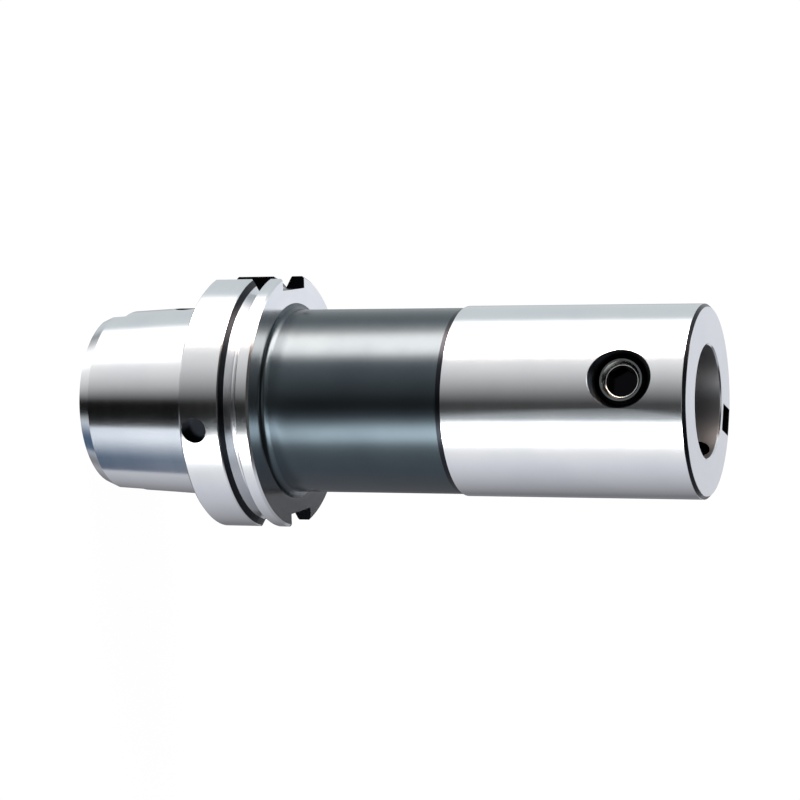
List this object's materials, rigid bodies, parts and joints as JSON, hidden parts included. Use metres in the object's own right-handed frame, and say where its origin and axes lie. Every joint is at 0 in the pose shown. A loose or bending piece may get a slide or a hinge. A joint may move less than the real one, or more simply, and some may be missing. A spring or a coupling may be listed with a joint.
{
  "type": "modular arbor",
  "caption": "Hollow taper shank arbor with gripper flange, long round neck and a bored ground nose that clamps a modular tool head with a radial screw.",
  "frame": {"origin": "centre of the contact face of the flange, where the taper shank starts", "axes": "+Z along the axis towards the nose, -Y towards the clamp screw"},
  "size_m": [0.1, 0.1, 0.245],
  "materials": {
    "arbor_steel": "ground bright, with the neck left black oxide",
    "screw_steel": "black oxide with a bright worn rim"
  },
  "bodies": {
    "arbor": {"arbor_body": "arbor_steel"},
    "clamp_screw": {"clamp_screw": "screw_steel"}
  },
  "joints": [
    {"name": "clamp_travel", "type": "slide", "parent": "arbor", "child": "clamp_screw", "axis": [0, 1, 0], "range_m": [0, 0.003]}
  ]
}
